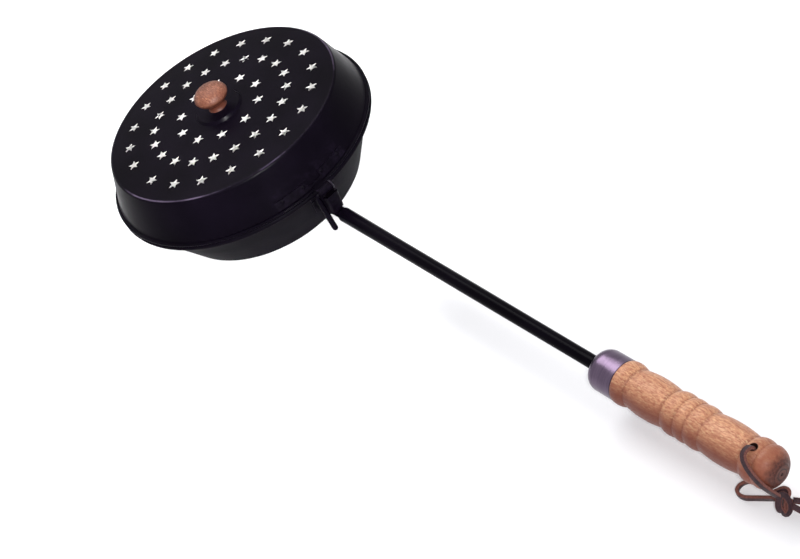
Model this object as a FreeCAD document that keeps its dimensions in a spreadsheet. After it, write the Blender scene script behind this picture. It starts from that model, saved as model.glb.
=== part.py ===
"""Long-handled popcorn popper: a steel pan with a hinged, star-punched lid, a tube handle with a
turned wooden grip, and a leather thong.

Frame, in millimetres: the origin is the centre of the pan's flat bottom, +Z is up and the handle
points along +X.
"""

import FreeCAD, Part
import math
import os

import Sketcher
from FreeCAD import Placement, Rotation, Vector

DIMENSIONS = {
    # pan
    "pan_corner_radius": 6.0,
    "pan_sheet": 1.0,
    "pan_wall_slope": 29.0,
    "pan_bead_radius": 2.4,
    "pan_bead_centre": 119.6,
    "pan_bead_height": 54.2,
    # lid
    "lid_sheet": 0.8,
    "lid_rim_height": 59.4,
    "lid_wall_foot_radius": 119.1,
    "lid_lip_centre": 120.8,
    "lid_lip_radius": 1.2,
    "lid_edge_radius_at_top": 106.1,
    "lid_edge_height": 94.4,
    "lid_edge_rounding": 3.0,
    "lid_crown": 2.6,
    "boss_radius": 20.0,
    "boss_rise": 2.4,
    "boss_slope": 1.6,
    # punched stars, in three rings that are looked up by name
    "star_tip": 5.3,
    "star_valley": 2.35,
    "outer_ring_radius": 86.6,
    "outer_ring_start": -81.6,
    "outer_ring_pitch": 17.72,
    "middle_ring_radius": 62.8,
    "middle_ring_start": 14.0,
    "inner_ring_radius": 37.3,
    "inner_ring_start": 5.0,
    # knob and its screw
    "knob_radius": 15.2,
    "knob_head_thickness": 14.0,
    "knob_foot_radius": 8.4,
    "knob_height": 20.6,
    "knob_screw_radius": 2.0,
    "knob_screw_depth": 13.0,
    "knob_screw_head_radius": 3.8,
    "knob_screw_head_rise": 2.4,
    "knob_screw_clearance": 0.2,
    "knob_washer_radius": 8.0,
    "knob_washer_sheet": 1.0,
    # hinge
    "hinge_x": 129.8,
    "hinge_height": 58.4,
    "hinge_pin_radius": 2.0,
    "hinge_running_gap": 0.06,
    "knuckle_radius": 3.4,
    "knuckle_width": 10.0,
    "tab_width": 11.0,
    "tab_sheet": 1.4,
    "strap_sheet": 1.0,
    "strap_low": 60.2,
    "strap_high": 67.4,
    "strap_half_angle": 18.2,
    "strap_gap": 14.6,
    "strap_gap_floor": 62.6,
    "strap_gap_rounding": 2.5,
    "strap_rivet_pitch": 10.0,
    "strap_rivet_height": 64.6,
    "lever_drop": 39.0,
    "lever_bend": 2.6,
    "lever_y": 9.0,
    "lever_radius": 2.45,
    "clip_radius": 4.0,
    "clip_sheet": 0.8,
    "clip_gap": 0.4,
    "pin_end": 2.4,
    # bracket
    "bracket_sheet": 1.2,
    "bracket_gap": 10.2,
    "bracket_web_x": 141.3,
    "bracket_web_top": 58.0,
    "bracket_web_lean": 15.7,
    "bracket_web_foot": 38.0,
    "bracket_corner_radius": 2.5,
    "cheek_low": 30.0,
    "cheek_rise_x": 116.0,
    "cheek_top": 55.1,
    "ear_radius": 3.9,
    "rim_clearance_radius": 122.4,
    "plate_low": 20.3,
    "plate_sweep": 14.0,
    "plate_high": 49.5,
    "plate_low_width": 13.4,
    "plate_high_width": 20.8,
    "plate_corner_radius": 2.0,
    "bracket_rivet_angle": 8.4,
    "bracket_rivet_high": 44.0,
    "bracket_rivet_low": 25.0,
    # rivets
    "rivet_radius": 1.1,
    "rivet_head_radius": 1.9,
    "rivet_head_rise": 0.6,
    "rivet_seat_gap": 0.06,
    "rivet_hole_gap": 0.05,
    # handle
    "handle_height": 34.5,
    "tube_neck_radius": 4.8,
    "tube_root_radius": 6.0,
    "tube_radius": 5.0,
    "tube_sheet": 1.2,
    "tube_start": 112.0,
    "tube_neck_end": 137.4,
    "tube_root": 141.4,
    "tube_taper_end": 426.0,
    "tube_end": 520.0,
    "tube_rivet_x": 117.0,
    "tube_rivet_radius": 2.0,
    "tube_rivet_head": 3.0,
    "tube_rivet_rise": 0.7,
    "ferrule_start": 436.0,
    "ferrule_end": 460.5,
    "ferrule_radius": 15.0,
    "ferrule_sheet": 0.8,
    "ferrule_shoulder": 8.0,
    "grip_end": 590.4,
    "grip_tenon_radius": 14.2,
    "thong_hole_x": 572.4,
    "thong_hole_radius": 2.75,
    "grip_pin_x": 449.0,
    "grip_pin_radius": 1.5,
    # leather thong
    "thong_radius": 1.6,
}

# A cut this long goes right through any part.
THROUGH = "300"

doc = FreeCAD.newDocument("popcorn_popper")


def make_sheet():
    """The driving dimensions, one named cell each."""
    sheet = doc.addObject("Spreadsheet::Sheet", "Dims")
    for row, (name, value) in enumerate(DIMENSIONS.items(), start=1):
        sheet.set(f"A{row}", str(value))
        sheet.setAlias(f"A{row}", name)
    doc.recompute()
    return sheet


dims = make_sheet()


def named(expression):
    """The expression with each dimension's name written as the sheet's cell."""
    words = []
    word = ""
    for letter in str(expression) + " ":
        if letter.isalnum() or letter == "_":
            word += letter
            continue
        words.append(f"Dims.{word}" if word in DIMENSIONS else word)
        words.append(letter)
        word = ""
    return "".join(words).strip()


def size(expression):
    """The value of an expression of the sheet's dimensions."""
    return float(dims.evalExpression(named(expression)))


def polar(centre, radius, angle):
    """A point at an angle on a circle, as two expressions."""
    return f"{centre[0]} + ({radius})*cos({angle})", f"{centre[1]} + ({radius})*sin({angle})"


# ---------------------------------------------------------------- sketches and features

parts = {}


def new_body(name):
    body = doc.addObject("PartDesign::Body", name)
    body.Label = name
    body.AllowCompound = True
    parts[name] = body
    return body


def origin_feature(body, role):
    return next(item for item in body.Origin.OriginFeatures if item.Role == role)


def new_sketch(body, plane, offset=None):
    sketch = body.newObject("Sketcher::SketchObject", "Sketch")
    sketch.AttachmentSupport = [(origin_feature(body, plane), "")]
    sketch.MapMode = "FlatFace"
    if offset is not None:
        sketch.AttachmentOffset = offset
    return sketch


def bind(sketch, kind, places, expression):
    """A sketch dimension driven by the sheet."""
    index = sketch.addConstraint(Sketcher.Constraint(kind, *places, size(expression)))
    sketch.setExpression(f"Constraints[{index}]", named(expression))


def arc_through(start, end, radius):
    """The minor arc between two points; a positive radius bulges to the left of travel."""
    chord = end - start
    half = chord.Length / 2
    rise = abs(radius) - math.sqrt(max(radius * radius - half * half, 0.0))
    left = Vector(-chord.y, chord.x, 0).normalize()
    middle = (start + end) * 0.5 + left * math.copysign(rise, radius)
    return Part.Arc(start, middle, end)


def add_outline(sketch, points):
    """A closed outline: each point is (x, y) or (x, y, radius), the radius of the arc to the next."""
    places = [Vector(size(point[0]), size(point[1]), 0) for point in points]
    first = sketch.GeometryCount
    ends = []
    for index, point in enumerate(points):
        start = places[index]
        end = places[(index + 1) % len(points)]
        if len(point) == 3:
            curve = arc_through(start, end, size(point[2]))
        else:
            curve = Part.LineSegment(start, end)
        edge = sketch.addGeometry(curve, False)
        swapped = (sketch.getPoint(edge, 1) - start).Length > (sketch.getPoint(edge, 2) - start).Length
        ends.append((2, 1) if swapped else (1, 2))
    for index, point in enumerate(points):
        edge = first + index
        following = (index + 1) % len(points)
        sketch.addConstraint(
            Sketcher.Constraint("Coincident", edge, ends[index][1], first + following, ends[following][0])
        )
        bind(sketch, "DistanceX", (-1, 1, edge, ends[index][0]), point[0])
        bind(sketch, "DistanceY", (-1, 1, edge, ends[index][0]), point[1])
        if len(point) == 3:
            bind(sketch, "Radius", (edge,), f"abs({point[2]})")


def add_circle(sketch, x, y, radius):
    edge = sketch.addGeometry(Part.Circle(Vector(size(x), size(y), 0), Vector(0, 0, 1), size(radius)), False)
    bind(sketch, "DistanceX", (-1, 1, edge, 3), x)
    bind(sketch, "DistanceY", (-1, 1, edge, 3), y)
    bind(sketch, "Radius", (edge,), radius)


def turn(body, sketch, axis="V_Axis", cut=False, angle=None):
    """Revolve a sketch about one of its own axes; an angle in the sheet's terms is centred on it."""
    feature = body.newObject("PartDesign::Groove" if cut else "PartDesign::Revolution", "Turned")
    feature.Profile = (sketch, [""])
    feature.ReferenceAxis = (sketch, [axis])
    if angle is not None:
        feature.setExpression("Angle", named(angle))
        feature.Midplane = True
    doc.recompute()
    return feature


def pad(body, sketch, length, both_sides=False):
    feature = body.newObject("PartDesign::Pad", "Pad")
    feature.Profile = (sketch, [""])
    feature.setExpression("Length", named(length))
    if both_sides:
        feature.SideType = "Symmetric"
    doc.recompute()
    return feature


def cut_through(body, sketch, length, both_sides=True, reverse=False):
    """Cut a sketch out of a body; a cut that takes nothing away is an error."""
    before = body.Shape.Volume
    feature = body.newObject("PartDesign::Pocket", "Cut")
    feature.Profile = (sketch, [""])
    feature.setExpression("Length", named(length))
    if both_sides:
        feature.SideType = "Symmetric"
    feature.Reversed = reverse
    doc.recompute()
    if not feature.Shape.Volume < before:
        raise RuntimeError(f"{body.Label}: {feature.Name} cuts nothing")
    return feature


def repeat_round(body, feature, count, angle):
    """Repeat a feature about the body's Z axis, anticlockwise over the whole angle given."""
    pattern = body.newObject("PartDesign::PolarPattern", "Ring")
    pattern.Originals = [feature]
    pattern.Axis = (origin_feature(body, "Z_Axis"), [""])
    pattern.setExpression("Angle", named(angle))
    pattern.Occurrences = count
    body.Tip = pattern
    doc.recompute()
    return pattern


def round_edges(body, radius, chosen):
    """Fillet every edge of the body's tip that the test chooses."""
    names = [f"Edge{i}" for i, edge in enumerate(body.Shape.Edges, start=1) if chosen(edge)]
    if not names:
        raise RuntimeError(f"{body.Label}: no edge to round")
    base = body.Tip
    feature = body.newObject("PartDesign::Fillet", "Rounding")
    feature.Base = (base, names)
    feature.setExpression("Radius", named(radius))
    doc.recompute()
    return feature


def ring_edge(radius, height, slack=0.05):
    """Choose the circular edges about Z at a radius and height."""

    def chosen(edge):
        box = edge.BoundBox
        flat = abs(box.ZMax - box.ZMin) < slack and abs(box.ZMax - size(height)) < slack
        reach = edge.Vertexes[0].Point.distanceToPoint(Vector(0, 0, box.ZMax))
        return flat and abs(reach - size(radius)) < slack

    return chosen


# ---------------------------------------------------------------- rivets and their holes

LID_SLOPE = math.degrees(
    math.atan2(
        size("lid_wall_foot_radius - lid_edge_radius_at_top"), size("lid_edge_height - lid_rim_height")
    )
)
PAN_SLOPE = size("pan_wall_slope")
PAN_CURL_INSIDE = "(pan_bead_radius - pan_sheet)"


def wall_radius(height, wall):
    """Outer radius of the lid's or the pan's straight wall at a height, as an expression."""
    if wall == "lid":
        return (
            "(lid_wall_foot_radius - (lid_wall_foot_radius - lid_edge_radius_at_top)"
            f"*({height} - lid_rim_height)/(lid_edge_height - lid_rim_height))"
        )
    return (
        f"(pan_bead_centre - {PAN_CURL_INSIDE}*cos(pan_wall_slope)"
        f" - (pan_bead_height + {PAN_CURL_INSIDE}*sin(pan_wall_slope) - ({height}))*tan(pan_wall_slope))"
    )


def across_wall(wall, height, start):
    """Where a rivet stands: local X out of the wall, local Y up along it, turned about Z by start."""
    tilt = LID_SLOPE if wall == "lid" else -PAN_SLOPE
    place = Vector(size(wall_radius(height, wall)), size(height), 0)
    lean = Placement(place, Rotation(Vector(0, 0, 1), tilt))
    return Placement(Vector(), Rotation(Vector(0, 1, 0), start)).multiply(lean)


def dome(reach, rise):
    """Radius of the sphere whose cap has that reach and rise, so that its centre lies on the axis."""
    return f"((({reach})^2 + ({rise})^2)/(2*({rise})))"


def rivet_outline(sheet_outside, sheet_inside):
    """Half section of a closed rivet: domed head outside, flat set tail inside."""
    shank = "rivet_radius"
    head = f"({sheet_outside})"
    tail = f"(-({sheet_inside} + rivet_seat_gap))"
    return [
        (f"{head} + rivet_head_rise", 0),
        (f"{tail} - 0.8*rivet_head_rise", 0),
        (f"{tail} - 0.8*rivet_head_rise", "0.8*rivet_head_radius"),
        (tail, "0.9*rivet_head_radius"),
        (tail, shank),
        (head, shank),
        (head, "rivet_head_radius", dome("rivet_head_radius", "rivet_head_rise")),
    ]


def add_rivets(body, wall, height, start, outline, cut=False):
    sketch = new_sketch(body, "XZ_Plane", across_wall(wall, height, start))
    add_outline(sketch, outline)
    return turn(body, sketch, "H_Axis", cut)


def hole_outline():
    """Half section of a rivet's hole, long enough to go through the sheets that it joins."""
    reach, hole = 6, "rivet_radius + rivet_hole_gap"
    return [(reach, 0), (-reach, 0), (-reach, hole), (reach, hole)]


# ---------------------------------------------------------------- pan


def curl(centre, outside, inside, first, last):
    """A rolled edge's section, clockwise along the inside face and back along the other one."""
    steps = 3
    angles = [f"({first} + ({last} - {first})*{step}/{steps})" for step in range(steps + 1)]
    forward = [polar(centre, outside, angle) + (outside,) for angle in angles[:-1]]
    back = [polar(centre, inside, angle) + (f"-({inside})",) for angle in reversed(angles[1:])]
    return forward + [polar(centre, outside, angles[-1])] + back + [polar(centre, inside, angles[0])]


def make_pan():
    body = new_body("pan")
    sketch = new_sketch(body, "XZ_Plane")
    rim = curl(
        ("pan_bead_centre", "pan_bead_height"),
        PAN_CURL_INSIDE,
        "pan_bead_radius",
        "(180 - pan_wall_slope)",
        "-130",
    )
    inner_foot = wall_radius("pan_sheet", "pan") + " - pan_sheet/cos(pan_wall_slope)"
    add_outline(
        sketch, [(0, 0), (wall_radius("0", "pan"), 0), *rim, (inner_foot, "pan_sheet"), (0, "pan_sheet")]
    )
    turn(body, sketch)
    round_edges(body, "pan_corner_radius", ring_edge(wall_radius("0", "pan"), "0"))
    round_edges(body, "pan_corner_radius - pan_sheet", ring_edge(inner_foot, "pan_sheet"))
    add_bracket_rivets(body, hole_outline(), cut=True)
    return body


def add_bracket_rivets(body, outline, cut=False):
    """One rivet low in the middle of the bracket's plate and a pair beside the cheeks."""
    add_rivets(body, "pan", "bracket_rivet_low", 0, outline, cut)
    start = -size("bracket_rivet_angle") / 2
    upper = add_rivets(body, "pan", "bracket_rivet_high", start, outline, cut)
    repeat_round(body, upper, 2, "bracket_rivet_angle")


# ---------------------------------------------------------------- lid and knob

BOSS_FOOT = "(boss_radius + boss_slope)"
CROWN_AT_BOSS = f"(lid_edge_height + lid_crown*(1 - {BOSS_FOOT}*{BOSS_FOOT}/lid_edge_radius_at_top^2))"
BOSS_TOP = f"({CROWN_AT_BOSS} + boss_rise)"
CROWN_RADIUS = "((lid_edge_radius_at_top^2 + lid_crown^2)/(2*lid_crown))"
SCREW_HOLE = "(knob_screw_radius + knob_screw_clearance)"
LID_SLANT = f"(1/cos({LID_SLOPE}))"


def star_outline(ring):
    """A five-pointed star on the ring's start line, one tip towards the lid's centre."""
    points = []
    for corner in range(10):
        reach = "star_tip" if corner % 2 == 0 else "star_valley"
        points.append(polar((f"{ring}_ring_radius", 0), reach, 180 + 36 * corner))
    return points


def punch_stars(body, ring, count, whole_angle):
    turned = Placement(Vector(), Rotation(Vector(0, 0, 1), size(f"{ring}_ring_start")))
    sketch = new_sketch(body, "XY_Plane", turned)
    add_outline(sketch, star_outline(ring))
    star = cut_through(body, sketch, "2*lid_edge_height + 20")
    repeat_round(body, star, count, whole_angle)


def make_lid():
    body = new_body("lid")
    sketch = new_sketch(body, "XZ_Plane")
    slant = f"lid_sheet*{LID_SLANT}"
    lip = curl(
        ("lid_lip_centre", "(lid_rim_height - lid_lip_radius)"),
        "lid_lip_radius",
        "(lid_lip_radius - lid_sheet)",
        "90",
        "-150",
    )
    outline = [
        (SCREW_HOLE, BOSS_TOP),
        ("boss_radius", BOSS_TOP),
        (BOSS_FOOT, CROWN_AT_BOSS, CROWN_RADIUS),
        ("lid_edge_radius_at_top", "lid_edge_height"),
        ("lid_wall_foot_radius", "lid_rim_height"),
        *lip,
        (wall_radius("(lid_rim_height - lid_sheet)", "lid") + f" - {slant}", "lid_rim_height - lid_sheet"),
        (
            wall_radius("(lid_edge_height - lid_sheet)", "lid") + f" - {slant}",
            "lid_edge_height - lid_sheet",
            f"-{CROWN_RADIUS}",
        ),
        (f"{BOSS_FOOT} - lid_sheet/2", f"{CROWN_AT_BOSS} - lid_sheet"),
        ("boss_radius - lid_sheet/2", f"{BOSS_TOP} - lid_sheet"),
        (SCREW_HOLE, f"{BOSS_TOP} - lid_sheet"),
    ]
    add_outline(sketch, outline)
    turn(body, sketch)
    round_edges(body, "lid_edge_rounding", ring_edge("lid_edge_radius_at_top", "lid_edge_height"))
    inside_edge = wall_radius("(lid_edge_height - lid_sheet)", "lid") + f" - {slant}"
    round_edges(body, "lid_edge_rounding - lid_sheet", ring_edge(inside_edge, "lid_edge_height - lid_sheet"))
    punch_stars(body, "outer", 20, "19*outer_ring_pitch")
    punch_stars(body, "middle", 20, "360")
    punch_stars(body, "inner", 10, "360")
    cut_strap_rivet_holes(body)
    return body


def cut_strap_rivet_holes(body):
    start = -1.5 * size("strap_rivet_pitch")
    hole = add_rivets(body, "lid", "strap_rivet_height", start, hole_outline(), cut=True)
    repeat_round(body, hole, 4, "3*strap_rivet_pitch")


def make_lid_knob():
    body = new_body("lid_knob")
    sketch = new_sketch(body, "XZ_Plane", Placement(Vector(0, size(BOSS_TOP), 0), Rotation()))
    widest = "(knob_height - 0.55*knob_head_thickness)"
    add_outline(
        sketch,
        [
            ("knob_screw_radius", 0),
            ("knob_foot_radius", 0, "4.5"),
            ("0.7*knob_radius", "knob_height - knob_head_thickness + 0.8", "-8"),
            ("knob_radius", widest, "-8.6"),
            ("0.56*knob_radius", "knob_height - 1.1", "-" + dome("0.56*knob_radius", "1.1")),
            (0, "knob_height"),
            (0, "knob_screw_depth"),
            ("knob_screw_radius", "knob_screw_depth"),
        ],
    )
    turn(body, sketch)
    return body


def make_knob_screw():
    body = new_body("knob_screw")
    under_washer = Placement(Vector(0, size(f"{BOSS_TOP} - lid_sheet - knob_washer_sheet"), 0), Rotation())
    sketch = new_sketch(body, "XZ_Plane", under_washer)
    add_outline(
        sketch,
        [
            (0, "-knob_screw_head_rise"),
            ("0.7*knob_screw_head_radius", "-knob_screw_head_rise"),
            ("knob_screw_head_radius", "-knob_screw_head_rise/2"),
            ("knob_screw_head_radius", 0),
            ("knob_screw_radius", 0),
            ("knob_screw_radius", "knob_screw_depth + lid_sheet + knob_washer_sheet"),
            (0, "knob_screw_depth + lid_sheet + knob_washer_sheet"),
        ],
    )
    turn(body, sketch)
    return body


def make_knob_washer():
    body = new_body("knob_washer")
    under_boss = Placement(Vector(0, size(f"{BOSS_TOP} - lid_sheet - knob_washer_sheet"), 0), Rotation())
    sketch = new_sketch(body, "XZ_Plane", under_boss)
    add_outline(
        sketch,
        [
            (SCREW_HOLE, 0),
            ("knob_washer_radius", 0),
            ("knob_washer_radius", "knob_washer_sheet"),
            (SCREW_HOLE, "knob_washer_sheet"),
        ],
    )
    turn(body, sketch)
    return body


# ---------------------------------------------------------------- hinge


def make_hinge_strap():
    """Two wings round the lid's wall, a centre tab out over the rim and its knuckle."""
    body = new_body("hinge_strap")
    sketch = new_sketch(body, "XZ_Plane")
    low = wall_radius("strap_low", "lid")
    high = wall_radius("strap_high", "lid")
    slant = f"strap_sheet*{LID_SLANT}"
    add_outline(
        sketch,
        [(low, "strap_low"), (f"{low} + {slant}", "strap_low"), (f"{high} + {slant}", "strap_high"),
         (high, "strap_high")],
    )
    turn(body, sketch, angle="2*strap_half_angle")

    gap = new_sketch(body, "YZ_Plane")
    half, rounding = "strap_gap/2", "strap_gap_rounding"
    floor, top = "strap_gap_floor", "(strap_high + 5)"
    add_outline(
        gap,
        [
            (f"-{half}", top),
            (f"-{half}", f"{floor} + {rounding}", f"-{rounding}"),
            (f"-{half} + {rounding}", floor),
            (f"{half} - {rounding}", floor, f"-{rounding}"),
            (half, f"{floor} + {rounding}"),
            (half, top),
        ],
    )
    cut_through(body, gap, THROUGH)

    tab = new_sketch(body, "XY_Plane", Placement(Vector(0, 0, size("lid_rim_height")), Rotation()))
    shoulder = "(hinge_x - ear_radius)"
    neck = f"({shoulder} - 1)"
    add_outline(
        tab,
        [
            ("lid_wall_foot_radius", "-tab_width/2"),
            (neck, "-tab_width/2"),
            (shoulder, "-knuckle_width/2"),
            ("hinge_x", "-knuckle_width/2"),
            ("hinge_x", "knuckle_width/2"),
            (shoulder, "knuckle_width/2"),
            (neck, "tab_width/2"),
            ("lid_wall_foot_radius", "tab_width/2"),
        ],
    )
    pad(body, tab, "tab_sheet")

    knuckle = new_sketch(body, "XZ_Plane")
    add_circle(knuckle, "hinge_x", "hinge_height", "knuckle_radius")
    pad(body, knuckle, "knuckle_width", both_sides=True)
    bore = new_sketch(body, "XZ_Plane")
    add_circle(bore, "hinge_x", "hinge_height", "hinge_pin_radius + hinge_running_gap")
    cut_through(body, bore, "3*knuckle_width")
    cut_strap_rivet_holes(body)
    return body


def make_strap_rivets():
    body = new_body("strap_rivets")
    start = -1.5 * size("strap_rivet_pitch")
    rivet = add_rivets(
        body, "lid", "strap_rivet_height", start, rivet_outline("strap_sheet", "lid_sheet")
    )
    repeat_round(body, rivet, 4, "3*strap_rivet_pitch")
    return body


def make_hinge_pin():
    """The pin lies along Y; beyond the near cheek it bends down into a tapered finger lever."""
    body = new_body("hinge_pin")
    far_end = "(bracket_gap/2 + bracket_sheet + pin_end)"
    bend_y = "(lever_y - lever_bend)"
    across = new_sketch(body, "XZ_Plane", Placement(Vector(0, 0, size(bend_y)), Rotation()))
    add_circle(across, "hinge_x", "hinge_height", "hinge_pin_radius")
    straight = pad(body, across, f"{far_end} + {bend_y}")
    straight.Reversed = True

    corner = Placement(
        Vector(size("hinge_x"), size("hinge_height - lever_bend"), size(bend_y)), Rotation()
    )
    section = new_sketch(body, "XZ_Plane", corner)
    add_circle(section, 0, "lever_bend", "hinge_pin_radius")
    elbow = turn(body, section, "H_Axis")
    elbow.Angle = 90
    doc.recompute()
    if body.Shape.BoundBox.YMin > -size("lever_y"):
        elbow.Reversed = True
        doc.recompute()

    lever = new_sketch(body, "XZ_Plane", Placement(Vector(size("hinge_x"), 0, size("lever_y")), Rotation()))
    tip = "(hinge_height - lever_drop)"
    add_outline(
        lever,
        [
            (0, "hinge_height - lever_bend"),
            ("hinge_pin_radius", "hinge_height - lever_bend"),
            ("lever_radius", "hinge_height - 3*lever_bend"),
            ("lever_radius", f"{tip} + lever_radius", "lever_radius"),
            (0, tip),
        ],
    )
    turn(body, lever)
    return body


def make_hinge_pin_clip():
    body = new_body("hinge_pin_clip")
    face = "(bracket_gap/2 + bracket_sheet + clip_gap)"
    sketch = new_sketch(body, "XZ_Plane", Placement(Vector(0, 0, -size(face)), Rotation()))
    add_circle(sketch, "hinge_x", "hinge_height", "clip_radius")
    add_circle(sketch, "hinge_x", "hinge_height", "hinge_pin_radius")
    ring = pad(body, sketch, "clip_sheet")
    ring.Reversed = True
    doc.recompute()
    return body


# ---------------------------------------------------------------- handle bracket


def web_x(height, inset="0"):
    """The end web leans: the x of its outer face, or of a face set in from it, at a height."""
    return (
        f"(bracket_web_x - (bracket_web_top - ({height}))*tan(bracket_web_lean)"
        f" - ({inset})/cos(bracket_web_lean))"
    )


PLATE_SLANT = "(bracket_sheet/cos(pan_wall_slope))"


def add_bracket_plate(body):
    """The plate on the pan's wall, narrower towards its rounded lower end."""
    low, high = wall_radius("plate_low", "pan"), wall_radius("plate_high", "pan")
    section = new_sketch(body, "XZ_Plane")
    add_outline(
        section,
        [
            (low, "plate_low"),
            (f"{low} + {PLATE_SLANT}", "plate_low"),
            (f"{high} + {PLATE_SLANT}", "plate_high"),
            (high, "plate_high"),
        ],
    )
    turn(body, section, angle="plate_sweep")
    for side in (1, -1):
        low_edge, high_edge = f"{side}*plate_low_width/2", f"{side}*plate_high_width/2"
        foot_end = f"{low_edge} - {side}*plate_corner_radius"
        beside = new_sketch(body, "YZ_Plane")
        add_outline(
            beside,
            [
                (foot_end, "plate_low", f"{side}*plate_corner_radius"),
                (low_edge, "plate_low + plate_corner_radius"),
                (high_edge, "plate_high"),
                (high_edge, "plate_high + 1"),
                (f"2*{high_edge}", "plate_high + 1"),
                (f"2*{high_edge}", "plate_low - 1"),
                (foot_end, "plate_low - 1"),
            ],
        )
        cut_through(body, beside, THROUGH)


def make_handle_bracket():
    """A plate on the pan's wall, two cheeks that end in pin ears, and a leaning web between them."""
    body = new_body("handle_bracket")
    add_bracket_plate(body)
    side = new_sketch(body, "XZ_Plane")
    in_pan = "(cheek_rise_x - 21)"
    add_outline(
        side,
        [
            (in_pan, "cheek_low"),
            ("cheek_rise_x", "cheek_low"),
            (web_x("bracket_web_foot"), "bracket_web_foot"),
            ("bracket_web_x", "bracket_web_top"),
            ("hinge_x + ear_radius + 1", "cheek_top"),
            ("hinge_x + ear_radius", "cheek_top"),
            ("hinge_x + ear_radius", "hinge_height", "-ear_radius"),
            ("hinge_x", "hinge_height + ear_radius", "-ear_radius"),
            ("hinge_x - ear_radius", "hinge_height"),
            ("rim_clearance_radius", "cheek_top"),
            (in_pan, "cheek_top"),
        ],
    )
    pad(body, side, "bracket_gap + 2*bracket_sheet", both_sides=True)
    round_edges(body, "bracket_corner_radius", web_corner)

    trimmed = new_sketch(body, "XZ_Plane")
    foot, roof = "(plate_low - 3)", "(hinge_height + 9)"
    shelf = "(pan_bead_height - pan_bead_radius - 0.6)"
    add_outline(
        trimmed,
        [
            (0, foot),
            (wall_radius(foot, "pan"), foot),
            (wall_radius(shelf, "pan"), shelf),
            ("rim_clearance_radius", shelf),
            ("rim_clearance_radius", roof),
            (0, roof),
        ],
    )
    turn(body, trimmed, cut=True)

    hollow = new_sketch(body, "XZ_Plane")
    add_outline(
        hollow,
        [
            (wall_radius(foot, "pan") + f" + {PLATE_SLANT}", foot),
            (web_x(foot, "bracket_sheet"), foot),
            (web_x(roof, "bracket_sheet"), roof),
            (in_pan, roof),
            (in_pan, "plate_high"),
            (wall_radius("plate_high", "pan") + f" + {PLATE_SLANT}", "plate_high"),
        ],
    )
    cut_through(body, hollow, "bracket_gap")

    holes = new_sketch(body, "XZ_Plane")
    add_circle(holes, "hinge_x", "hinge_height", "hinge_pin_radius + hinge_running_gap")
    add_circle(holes, "tube_rivet_x", "handle_height", "tube_rivet_radius")
    cut_through(body, holes, THROUGH)
    tube_notch = new_sketch(body, "YZ_Plane", Placement(Vector(0, 0, size("tube_start")), Rotation()))
    add_circle(tube_notch, 0, "handle_height", "tube_neck_radius")
    cut_through(body, tube_notch, THROUGH, both_sides=False, reverse=True)
    add_bracket_rivets(body, hole_outline(), cut=True)
    return body


def web_corner(edge):
    """Choose the two leaning edges where the web meets the cheeks."""
    box = edge.BoundBox
    return abs(box.ZMax - size("bracket_web_top")) < 0.05 and abs(box.ZMin - size("bracket_web_foot")) < 0.05


def make_bracket_rivets():
    body = new_body("bracket_rivets")
    add_bracket_rivets(body, rivet_outline("bracket_sheet", "pan_sheet"))
    return body


# ---------------------------------------------------------------- handle


def along_handle():
    """Sketch place on the handle's axis: local X along the handle, local Y its radius."""
    return Placement(Vector(0, size("handle_height"), 0), Rotation())


def cut_grip_pin_hole(body):
    sketch = new_sketch(body, "XZ_Plane", along_handle())
    add_circle(sketch, "grip_pin_x", 0, "grip_pin_radius")
    cut_through(body, sketch, "4*grip_tenon_radius")


def make_handle_tube():
    """Necked down to fit in the bracket, widest just outside it, then a slow taper to the ferrule."""
    body = new_body("handle_tube")
    sketch = new_sketch(body, "XZ_Plane", along_handle())
    stations = [
        ("tube_start", "tube_neck_radius"),
        ("tube_neck_end", "tube_neck_radius"),
        ("tube_root", "tube_root_radius"),
        ("tube_taper_end", "tube_radius"),
        ("tube_end", "tube_radius"),
    ]
    bore = [(along, f"{radius} - tube_sheet") for along, radius in stations]
    add_outline(sketch, bore + stations[::-1])
    turn(body, sketch, "H_Axis")
    rivet_hole = new_sketch(body, "XZ_Plane", along_handle())
    add_circle(rivet_hole, "tube_rivet_x", 0, "tube_rivet_radius")
    cut_through(body, rivet_hole, "4*tube_neck_radius")
    cut_grip_pin_hole(body)
    return body


def make_tube_rivet():
    body = new_body("tube_rivet")
    place = Placement(Vector(size("tube_rivet_x"), 0, size("handle_height")), Rotation())
    sketch = new_sketch(body, "XY_Plane", place)
    face = "(bracket_gap/2 + bracket_sheet)"
    head, rise = "tube_rivet_head", "tube_rivet_rise"
    add_outline(
        sketch,
        [
            (0, f"{face} + {rise}"),
            (0, f"-({face} + {rise})", "-" + dome(head, rise)),
            (head, f"-{face}"),
            ("tube_rivet_radius", f"-{face}"),
            ("tube_rivet_radius", face),
            (head, face, "-" + dome(head, rise)),
        ],
    )
    turn(body, sketch)
    return body


def make_ferrule():
    """A drawn cup with a rounded shoulder round the tube, open towards the grip."""
    body = new_body("ferrule")
    sketch = new_sketch(body, "XZ_Plane", along_handle())
    start, end, rounding = "ferrule_start", "ferrule_end", "ferrule_shoulder"
    inside = "(ferrule_radius - ferrule_sheet)"
    add_outline(
        sketch,
        [
            (start, "tube_radius"),
            (start, f"ferrule_radius - {rounding}", rounding),
            (f"{start} + {rounding}", "ferrule_radius"),
            (end, "ferrule_radius"),
            (end, inside),
            (f"{start} + {rounding}", inside, f"-({rounding} - ferrule_sheet)"),
            (f"{start} + ferrule_sheet", f"ferrule_radius - {rounding}"),
            (f"{start} + ferrule_sheet", "tube_radius"),
        ],
    )
    turn(body, sketch, "H_Axis")
    return body


# The turned profile beyond the ferrule: distance from the ferrule, radius, radius of the arc to the next.
GRIP_SWELLS = [
    (10.7, 13.5, 77),
    (42.5, 13.2, 12.5),
    (54.1, 14.0, 10),
    (62.7, 13.9, 14),
    (74.3, 13.4, 87),
    (106.3, 12.9, 10),
    (116.8, 13.7, 11),
]
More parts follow.
